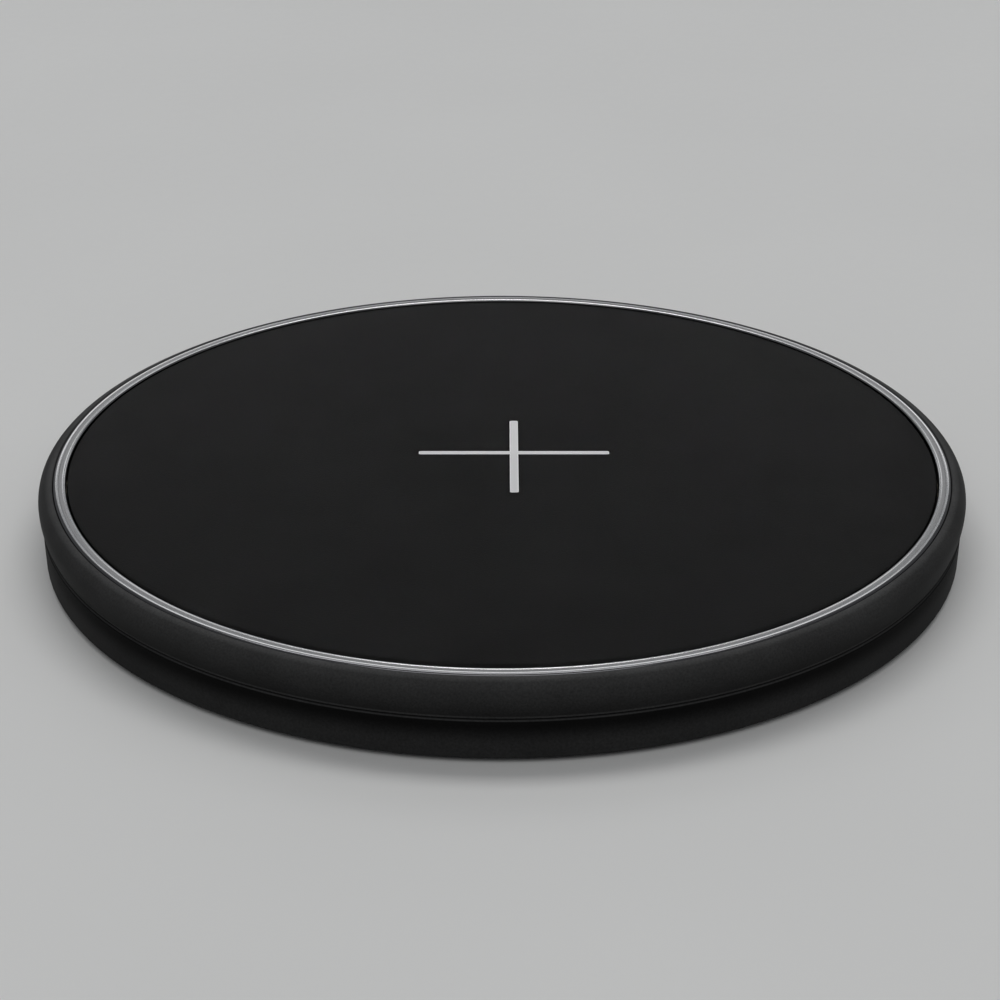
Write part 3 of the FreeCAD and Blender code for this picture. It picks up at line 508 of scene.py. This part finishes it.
def raise_bumps(tree, shader, source, out, depth, strength=1.0):
    """Turns a pattern into small bumps of the given depth."""
    bump = add(tree, "ShaderNodeBump", Strength=strength, Distance=depth)
    join(tree, source, bump, out, "Height")
    join(tree, bump, shader, 0, "Normal")


def grained(name, colour, roughness, grain, depth, specular=0.5, metallic=0.0,
            spread=0.08, vary=0.15, dust=0.0, coat=0.0, coat_roughness=0.1):
    """A moulded, pressed or painted finish: grain bumps, patchy shade, dust."""
    material, tree, shader = new_material(name, metallic, specular, coat, coat_roughness)
    pattern = use_group(tree, GRAIN, Grain_size=grain, Patch_size=grain * 40)
    darker = tuple(part * (1 - vary) for part in colour)
    lighter = tuple(min(1.0, part * (1 + vary)) for part in colour)
    even = spread_value(tree, pattern, "Shade", 0.0, 1.0)
    colour_mix = tint(tree, even, 0, darker, lighter)
    if dust > 0:
        specks = use_group(tree, DUST, Amount=dust)
        dusty = tree.nodes.new("ShaderNodeMix")
        dusty.data_type = "RGBA"
        dusty.inputs[7].default_value = DUST_COLOUR
        tree.links.new(specks.outputs["Mask"], dusty.inputs[0])
        tree.links.new(colour_mix.outputs[2], dusty.inputs[6])
        tree.links.new(dusty.outputs[2], shader.inputs["Base Color"])
    else:
        tree.links.new(colour_mix.outputs[2], shader.inputs["Base Color"])
    rough = spread_value(tree, pattern, "Height", roughness - spread, roughness + spread)
    join(tree, rough, shader, 0, "Roughness")
    raise_bumps(tree, shader, pattern, "Height", depth)
    return material


def between(tree, source, out, low, high, soft):
    """1 where a value lies between low and high, with soft edges, else 0."""
    rise = add(tree, "ShaderNodeMapRange", i1=low - soft, i2=low + soft)
    rise.interpolation_type = "SMOOTHSTEP"
    join(tree, source, rise, out, 0)
    fall = add(tree, "ShaderNodeMapRange", i1=high - soft, i2=high + soft, i3=1.0, i4=0.0)
    fall.interpolation_type = "SMOOTHSTEP"
    join(tree, source, fall, out, 0)
    both = add(tree, "ShaderNodeMath", "MULTIPLY")
    join(tree, rise, both, 0, 0)
    join(tree, fall, both, 0, 1)
    return both


def ring_metal():
    """Aluminium: two polished beads and a finely brushed dish, with painted shade: the dish
    coloured darker and the edges darker still.
    """
    material, tree, shader = new_material("polished and brushed aluminium", 1.0, 0.5)
    marks = use_group(tree, TURNING, Line_width=0.045 * MM, Streaks=9.0)
    hatch = use_group(tree, TURNING, Line_width=0.9 * MM, Streaks=420.0)
    outer = RING_HIGH.x
    inner = outer - RING_WIDTH
    half = RING_BEAD / 2
    band = between(tree, marks, "Radius", inner + RING_INNER_BEAD + half,
                   outer - RING_OUTER_BEAD - half, 0.05 * MM)
    bright = between(tree, marks, "Radius", inner + RING_INNER_BEAD - half,
                     outer - RING_OUTER_BEAD + half, 0.03 * MM)
    brushed = add(tree, "ShaderNodeMapRange", i3=0.16, i4=0.3)
    join(tree, band, brushed, 0, 0)
    wobble = spread_value(tree, marks, "Lines", -0.05, 0.05)
    rough = add(tree, "ShaderNodeMath", "ADD")
    join(tree, brushed, rough, 0, 0)
    join(tree, wobble, rough, 0, 1)
    join(tree, rough, shader, 0, "Roughness")
    both = add(tree, "ShaderNodeMath", "ADD")
    join(tree, marks, both, "Lines", 0)
    join(tree, hatch, both, "Lines", 1)
    cut = add(tree, "ShaderNodeMath", "MULTIPLY")
    join(tree, both, cut, 0, 0)
    join(tree, band, cut, 0, 1)
    raise_bumps(tree, shader, cut, 0, 0.0015 * MM)
    # The dish is coloured darker than the beads: painted shade.
    shade = tint(tree, band, 0, (0.88, 0.88, 0.885), (0.42, 0.42, 0.425))
    edges = tree.nodes.new("ShaderNodeMix")
    edges.data_type = "RGBA"
    middle = add(tree, "ShaderNodeMapRange", i1=inner + RING_BRUSHING_SPLIT[0],
                 i2=inner + RING_BRUSHING_SPLIT[1])
    join(tree, marks, middle, "Radius", 0)
    # The rounded inner and outer edges get a darker colour still: painted shade.
    painted_edge_shade = tint(tree, middle, 0, (0.24, 0.24, 0.245), (0.13, 0.13, 0.135))
    tree.links.new(painted_edge_shade.outputs[2], edges.inputs[6])
    tree.links.new(bright.outputs[0], edges.inputs[0])
    tree.links.new(shade.outputs[2], edges.inputs[7])
    tree.links.new(edges.outputs[2], shader.inputs["Base Color"])
    return material


def mark_paint():
    """Light grey face, a whiter rim as painted highlight and near-black sides as painted
    shade, told by height.
    """
    material, tree, shader = new_material("silver-white inlay", 0.0, 0.4)
    pattern = use_group(tree, GRAIN, Grain_size=0.12 * MM, Patch_size=2 * MM)
    place = add(tree, "ShaderNodeTexCoord")
    height = add(tree, "ShaderNodeSeparateXYZ")
    join(tree, place, height, "Object", 0)
    rim = add(tree, "ShaderNodeMapRange", i1=MARK_HIGH.z - 0.8 * MARK_RIM_RISE,
              i2=MARK_HIGH.z - 0.3 * MARK_RIM_RISE)
    join(tree, height, rim, "Z", 0)
    # The sides, down in the recess, are coloured near-black: painted shade.
    side = add(tree, "ShaderNodeMapRange", i1=MARK_HIGH.z - 0.06 * MM,
               i2=MARK_HIGH.z - 0.045 * MM)
    join(tree, height, side, "Z", 0)
    # The rim is coloured whiter than the face: painted highlight.
    shade = tint(tree, rim, 0, (0.79, 0.79, 0.795), (1.0, 1.0, 1.0))
    painted_dark_sides_mix = tree.nodes.new("ShaderNodeMix")
    painted_dark_sides_mix.data_type = "RGBA"
    painted_dark_sides_mix.inputs[6].default_value = (0.012, 0.012, 0.013, 1.0)
    tree.links.new(side.outputs[0], painted_dark_sides_mix.inputs[0])
    tree.links.new(shade.outputs[2], painted_dark_sides_mix.inputs[7])
    tree.links.new(painted_dark_sides_mix.outputs[2], shader.inputs["Base Color"])
    rough = add(tree, "ShaderNodeMapRange", i3=0.5, i4=0.3)
    join(tree, rim, rough, 0, 0)
    join(tree, rough, shader, 0, "Roughness")
    raise_bumps(tree, shader, pattern, "Height", 0.002 * MM)
    return material


def banded_shell(name, low, high, low_shade, high_shade, edge, edge_shade, roughness,
                 grain, depth, specular, dust, crest=NO_CREST, crest_shade=0.0):
    """Moulded black with painted light and shade that change with height.

    The colour runs from low_shade at height low to high_shade at height high,
    as painted light and shade. Within the edge heights it gains edge_shade and
    above the crest height it gains crest_shade, both painted highlights.
    """
    material, tree, shader = new_material(name, 0.0, specular)
    pattern = use_group(tree, GRAIN, Grain_size=grain, Patch_size=grain * 40)
    specks = use_group(tree, DUST, Amount=dust)
    place = add(tree, "ShaderNodeTexCoord")
    height = add(tree, "ShaderNodeSeparateXYZ")
    join(tree, place, height, "Object", 0)
    # Painted light and shade: the colour changes with height.
    painted_height_shade = add(tree, "ShaderNodeMapRange", i1=low, i2=high, i3=low_shade, i4=high_shade)
    painted_height_shade.interpolation_type = "SMOOTHSTEP"
    join(tree, height, painted_height_shade, "Z", 0)
    # Painted highlight on a band of heights at an edge.
    painted_edge_highlight_mask = between(tree, height, "Z", edge[0], edge[1], 0.05 * MM)
    painted_edge_highlight_amount = add(tree, "ShaderNodeMath", "MULTIPLY", i1=edge_shade)
    join(tree, painted_edge_highlight_mask, painted_edge_highlight_amount, 0, 0)
    # Painted highlight above the crest height.
    upper = add(tree, "ShaderNodeMapRange", i1=crest - CREST_SOFTNESS, i2=crest, i3=0.0,
                i4=crest_shade)
    join(tree, height, upper, "Z", 0)
    edges = add(tree, "ShaderNodeMath", "ADD")
    join(tree, painted_edge_highlight_amount, edges, 0, 0)
    join(tree, upper, edges, 0, 1)
    total = add(tree, "ShaderNodeMath", "ADD")
    join(tree, painted_height_shade, total, 0, 0)
    join(tree, edges, total, 0, 1)
    patches = spread_value(tree, pattern, "Shade", 0.88, 1.12)
    varied = add(tree, "ShaderNodeMath", "MULTIPLY")
    join(tree, total, varied, 0, 0)
    join(tree, patches, varied, 0, 1)
    speckled = spread_value(tree, pattern, "Height", 0.8, 1.2)
    grained_shade = add(tree, "ShaderNodeMath", "MULTIPLY")
    join(tree, varied, grained_shade, 0, 0)
    join(tree, speckled, grained_shade, 0, 1)
    dusty = tree.nodes.new("ShaderNodeMix")
    dusty.data_type = "RGBA"
    dusty.inputs[7].default_value = DUST_COLOUR
    tree.links.new(specks.outputs["Mask"], dusty.inputs[0])
    tree.links.new(grained_shade.outputs[0], dusty.inputs[6])
    tree.links.new(dusty.outputs[2], shader.inputs["Base Color"])
    rough = spread_value(tree, pattern, "Height", roughness - 0.06, roughness + 0.06)
    join(tree, rough, shader, 0, "Roughness")
    raise_bumps(tree, shader, pattern, "Height", depth)
    return material


def board_mask():
    """Green solder mask over copper: a lighter lattice of tracks and pads."""
    material, tree, shader = new_material("green solder mask", 0.0, 0.5, 0.3, 0.25)
    place = add(tree, "ShaderNodeTexCoord")
    spread = add(tree, "ShaderNodeVectorMath", "SCALE", Scale=1 / (1.6 * MM))
    join(tree, place, spread, "Object", 0)
    tracks = add(tree, "ShaderNodeTexVoronoi", Scale=1.0)
    tracks.feature = "DISTANCE_TO_EDGE"
    join(tree, spread, tracks, 0, "Vector")
    line = add(tree, "ShaderNodeMapRange", i1=0.05, i2=0.09)
    join(tree, tracks, line, "Distance", 0)
    shade = tint(tree, line, 0, (0.05, 0.24, 0.1), (0.015, 0.12, 0.045))
    tree.links.new(shade.outputs[2], shader.inputs["Base Color"])
    rough = add(tree, "ShaderNodeMapRange", i3=0.3, i4=0.4)
    join(tree, line, rough, 0, 0)
    join(tree, rough, shader, 0, "Roughness")
    raise_bumps(tree, shader, line, 0, 0.02 * MM, 0.6)
    return material


def tinned_ends(name, node, body_colour, split_along):
    """A chip part's ceramic body with bright tinned ends, by place in its pitch."""
    material, tree, shader = new_material(name, 0.0, 0.5)
    pattern = use_group(tree, GRAIN, Grain_size=0.08 * MM, Patch_size=1.5 * MM)
    even = spread_value(tree, pattern, "Shade", 0.0, 1.0)
    body = tint(tree, even, 0, tuple(0.85 * part for part in body_colour), body_colour)
    low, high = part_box(node)
    pitch, length = split_along
    place = add(tree, "ShaderNodeTexCoord")
    along = add(tree, "ShaderNodeSeparateXYZ")
    join(tree, place, along, "Object", 0)
    offset = add(tree, "ShaderNodeMath", "SUBTRACT", i1=low.x)
    join(tree, along, offset, "X", 0)
    wrapped = add(tree, "ShaderNodeMath", "MODULO", i1=pitch)
    join(tree, offset, wrapped, 0, 0)
    middle = between(tree, wrapped, 0, 0.2 * length, 0.8 * length, 0.01 * MM)
    ends = tree.nodes.new("ShaderNodeMix")
    ends.data_type = "RGBA"
    ends.inputs[6].default_value = (0.7, 0.7, 0.69, 1.0)
    tree.links.new(middle.outputs[0], ends.inputs[0])
    tree.links.new(body.outputs[2], ends.inputs[7])
    tree.links.new(ends.outputs[2], shader.inputs["Base Color"])
    metal = add(tree, "ShaderNodeMath", "SUBTRACT", i0=1.0)
    join(tree, middle, metal, 0, 1)
    join(tree, metal, shader, 0, "Metallic")
    rough = spread_value(tree, pattern, "Height", 0.32, 0.46)
    join(tree, rough, shader, 0, "Roughness")
    raise_bumps(tree, shader, pattern, "Height", 0.004 * MM)
    return material


def clear_pipe():
    """Clear moulded light pipe, faintly milky."""
    material, tree, shader = new_material("clear light pipe", 0.0, 0.5)
    shader.inputs["Transmission Weight"].default_value = 0.75
    pattern = use_group(tree, GRAIN, Grain_size=0.2 * MM, Patch_size=3 * MM)
    even = spread_value(tree, pattern, "Shade", 0.0, 1.0)
    shade = tint(tree, even, 0, (0.82, 0.85, 0.86), (0.93, 0.95, 0.95))
    tree.links.new(shade.outputs[2], shader.inputs["Base Color"])
    rough = spread_value(tree, pattern, "Height", 0.12, 0.22)
    join(tree, rough, shader, 0, "Roughness")
    return material


def dress(target, material):
    """Gives a piece one material on every face."""
    target.data.materials.clear()
    target.data.materials.append(material)


# ---------------------------------------------------------------------------
# Pieces that stand for CAD nodes
# ---------------------------------------------------------------------------
even_angles = np.linspace(0, 2 * math.pi, AROUND, endpoint=False)

ring = turned("turned_trim_ring", ring_section(), even_angles)
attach(ring, "root")
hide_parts("trim_ring")
dress(ring, ring_metal())

wall = side_wall("bulging_side_wall", wall_angles())
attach(wall, "root")
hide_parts("upper_housing")
# Painted light and shade: darker at the lip, lighter towards the top, with painted highlights
# on the lip edge and the crest.
dress(wall, banded_shell("satin side wall", WALL_LIP_HEIGHT, WALL_HIGH.z, 0.016,
                         0.036, (WALL_LIP_HEIGHT - 0.1 * MM, WALL_LIP_HEIGHT + 0.3 * MM),
                         0.02, 0.46, 0.2 * MM, 0.01 * MM, 0.012, 0.003,
                         WALL_HIGH.z - 0.04 * MM, 0.026))

mark = plus_inlay("plus_inlay")
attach(mark, "root")
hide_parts("centre_mark")
dress(mark, mark_paint())

# ---------------------------------------------------------------------------
# Finishes of the nodes that keep their own meshes
# ---------------------------------------------------------------------------
FINISHES = {
    # Painted shade: the cover's faces below its top, in the recess round the mark and at its
    # edge, are near-black.
    "top_cover": banded_shell("soft-touch cover", PLATE_HIGH.z - 0.09 * MM,
                              PLATE_HIGH.z - 0.02 * MM, 0.0001, 0.002, NO_BAND,
                              0.0, 0.34, 0.2 * MM, 0.024 * MM, 0.01, 0.001),
    # Painted shade: the base is darker towards its top under the wall's overhang, with a
    # painted highlight on the ledge at its top.
    "base_cover": banded_shell("matte base", 1.8 * MM, 4.2 * MM, 0.026, 0.005,
                               (4.57 * MM, 4.7 * MM), 0.035, 0.55, 0.26 * MM, 0.006 * MM,
                               0.02, 0.006),
    "foot_ring": grained("grey silicone", (0.045, 0.045, 0.048), 0.7, 0.35 * MM,
                         0.01 * MM, specular=0.3, vary=0.2),
    "charging_coil": grained("enamelled copper", (0.66, 0.27, 0.12), 0.3, 0.3 * MM,
                             0.006 * MM, metallic=0.9, vary=0.14, coat=0.5),
    "solder_joints": grained("bright solder", (0.66, 0.66, 0.67), 0.25, 0.2 * MM,
                             0.01 * MM, metallic=1.0),
    "ferrite_shield": grained("pressed ferrite", (0.05, 0.05, 0.054), 0.62, 0.16 * MM,
                              0.012 * MM, spread=0.12, vary=0.3),
    "coil_carrier": grained("natural moulded plastic", (0.62, 0.61, 0.56), 0.5, 0.3 * MM,
                            0.006 * MM, vary=0.05),
    "circuit_board": board_mask(),
    "power_inductor": grained("pressed powder block", (0.09, 0.09, 0.095), 0.6, 0.1 * MM,
                              0.008 * MM, vary=0.35),
    "clock_crystal": grained("plated can", (0.68, 0.67, 0.64), 0.32, 0.12 * MM,
                             0.002 * MM, metallic=1.0, vary=0.08),
    "temperature_sensor": grained("epoxy bead", (0.22, 0.09, 0.035), 0.2, 0.5 * MM,
                                  0.01 * MM, vary=0.2, coat=0.6, coat_roughness=0.08),
    "status_led": grained("lamp package", (0.8, 0.74, 0.45), 0.4, 0.1 * MM, 0.002 * MM,
                          vary=0.08),
    "light_pipe": clear_pipe(),
    "usb_socket_shell": grained("plated drawn steel", (0.58, 0.58, 0.585), 0.3, 0.12 * MM,
                                0.002 * MM, metallic=1.0, vary=0.1),
    "usb_socket_tongue": grained("black insulator", (0.014, 0.014, 0.015), 0.45, 0.1 * MM,
                                 0.002 * MM, vary=0.2),
    "usb_socket_contacts": grained("gold contacts", (0.83, 0.58, 0.22), 0.22, 0.1 * MM,
                                   0.001 * MM, metallic=1.0, vary=0.08),
    "resonance_capacitors": tinned_ends("tan ceramic capacitors", "resonance_capacitors",
                                        (0.5, 0.34, 0.18), (13.0 * MM, 3.2 * MM)),
    "input_capacitors": tinned_ends("tan ceramic blocks", "input_capacitors",
                                    (0.46, 0.32, 0.18), (10.0 * MM, 3.2 * MM)),
    "chip_passives": tinned_ends("small chip parts", "chip_passives",
                                 (0.04, 0.04, 0.045), (2.0 * MM, 1.0 * MM)),
}
CHIP_BLACK = grained("moulded chip black", (0.018, 0.018, 0.02), 0.5, 0.07 * MM,
                     0.003 * MM, vary=0.2)
SCREW_STEEL = grained("zinc-plated steel", (0.55, 0.56, 0.57), 0.34, 0.15 * MM,
                      0.003 * MM, metallic=1.0, vary=0.12)
FILM = grained("bonding film", (0.62, 0.56, 0.4), 0.55, 0.6 * MM, 0.006 * MM, vary=0.12)
for node in ("controller_chip", "power_switches"):
    FINISHES[node] = CHIP_BLACK
for node in ("housing_screws", "carrier_screws", "board_screws"):
    FINISHES[node] = SCREW_STEEL
for node in ("foot_ring_adhesive", "ring_adhesive", "cover_adhesive", "coil_adhesive"):
    FINISHES[node] = FILM
for node, material in FINISHES.items():
    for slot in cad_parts[node].material_slots:
        slot.material = material

# ---------------------------------------------------------------------------
# Floor, light and camera
# ---------------------------------------------------------------------------
FLOOR_REACH = 3.0
floor_mesh = bpy.data.meshes.new("floor")
floor_mesh.from_pydata([(-FLOOR_REACH, -FLOOR_REACH, 0), (FLOOR_REACH, -FLOOR_REACH, 0),
                        (FLOOR_REACH, FLOOR_REACH, 0), (-FLOOR_REACH, FLOOR_REACH, 0)],
                       [], [(0, 1, 2, 3)])
floor = bpy.data.objects.new("floor", floor_mesh)
bpy.context.scene.collection.objects.link(floor)
dress(floor, grained("pale desk", (0.76, 0.76, 0.75), 0.6, 2 * MM, 0.004 * MM,
                     specular=0.3, vary=0.015))


def softbox(name, size, power, azimuth, elevation, distance):
    """A square area light that faces the pad.

    The azimuth turns from the front (0) through the right (90) to the back
    (180), and the elevation is above the desk, both in degrees.
    """
    light = bpy.data.lights.new(name, "AREA")
    light.shape = "RECTANGLE"
    light.size, light.size_y = size
    light.energy = power
    lamp = bpy.data.objects.new(name, light)
    turn = math.radians(azimuth)
    lift = math.radians(elevation)
    lamp.location = (distance * math.sin(turn) * math.cos(lift),
                     -distance * math.cos(turn) * math.cos(lift),
                     distance * math.sin(lift))
    lamp.rotation_euler = (math.pi / 2 - lift, 0, turn)
    bpy.context.scene.collection.objects.link(lamp)
    return lamp


softbox("overhead panel", (1.3, 0.4), 5.0, 180, 72, 1.3)
softbox("back softbox", (1.2, 0.3), 0.6, 180, 44, 1.1)
softbox("back left strip", (0.5, 0.25), 0.25, 198, 17, 1.4)
softbox("back right strip", (0.5, 0.25), 0.25, 162, 17, 1.4)
softbox("high front fill", (1.3, 0.8), 4.0, 0, 50, 1.3)

# Two low lights on the cover alone.  The front one lets the raised ring throw a
# thin shadow on it and the near back one shades it from light to dark.
lit = bpy.data.collections.new("lit by the low lights")
lit.objects.link(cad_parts["top_cover"])
for name, size, power, azimuth, elevation, distance in (
        ("low front light", (0.3, 0.04), 200.0, 0, 10, 1.3),
        ("low back light", (0.2, 0.03), 7.0, 180, 14, 0.26)):
    lamp = softbox(name, size, power, azimuth, elevation, distance)
    lamp.visible_glossy = False
    lamp.light_linking.receiver_collection = lit

world = bpy.data.worlds.new("studio")
world.use_nodes = True
world.node_tree.nodes["Background"].inputs["Color"].default_value = (0.9, 0.92, 0.95, 1)
world.node_tree.nodes["Background"].inputs["Strength"].default_value = 0.24
bpy.context.scene.world = world
bpy.context.scene.view_settings.view_transform = "Standard"

CAMERA_ELEVATION = math.radians(25.38)
CAMERA_DISTANCE = 270 * MM
CAMERA_AIM = 4.51 * MM
camera = bpy.data.cameras.new("camera")
camera.sensor_width = 36
camera.lens = 88.56
camera.shift_x = -0.0021
camera.shift_y = -0.0099
camera.clip_start = 0.01
viewer = bpy.data.objects.new("camera", camera)
viewer.location = (0, -CAMERA_DISTANCE * math.cos(CAMERA_ELEVATION),
                   CAMERA_AIM + CAMERA_DISTANCE * math.sin(CAMERA_ELEVATION))
viewer.rotation_euler = (math.pi / 2 - CAMERA_ELEVATION, 0, 0)
bpy.context.scene.collection.objects.link(viewer)
bpy.context.scene.camera = viewer
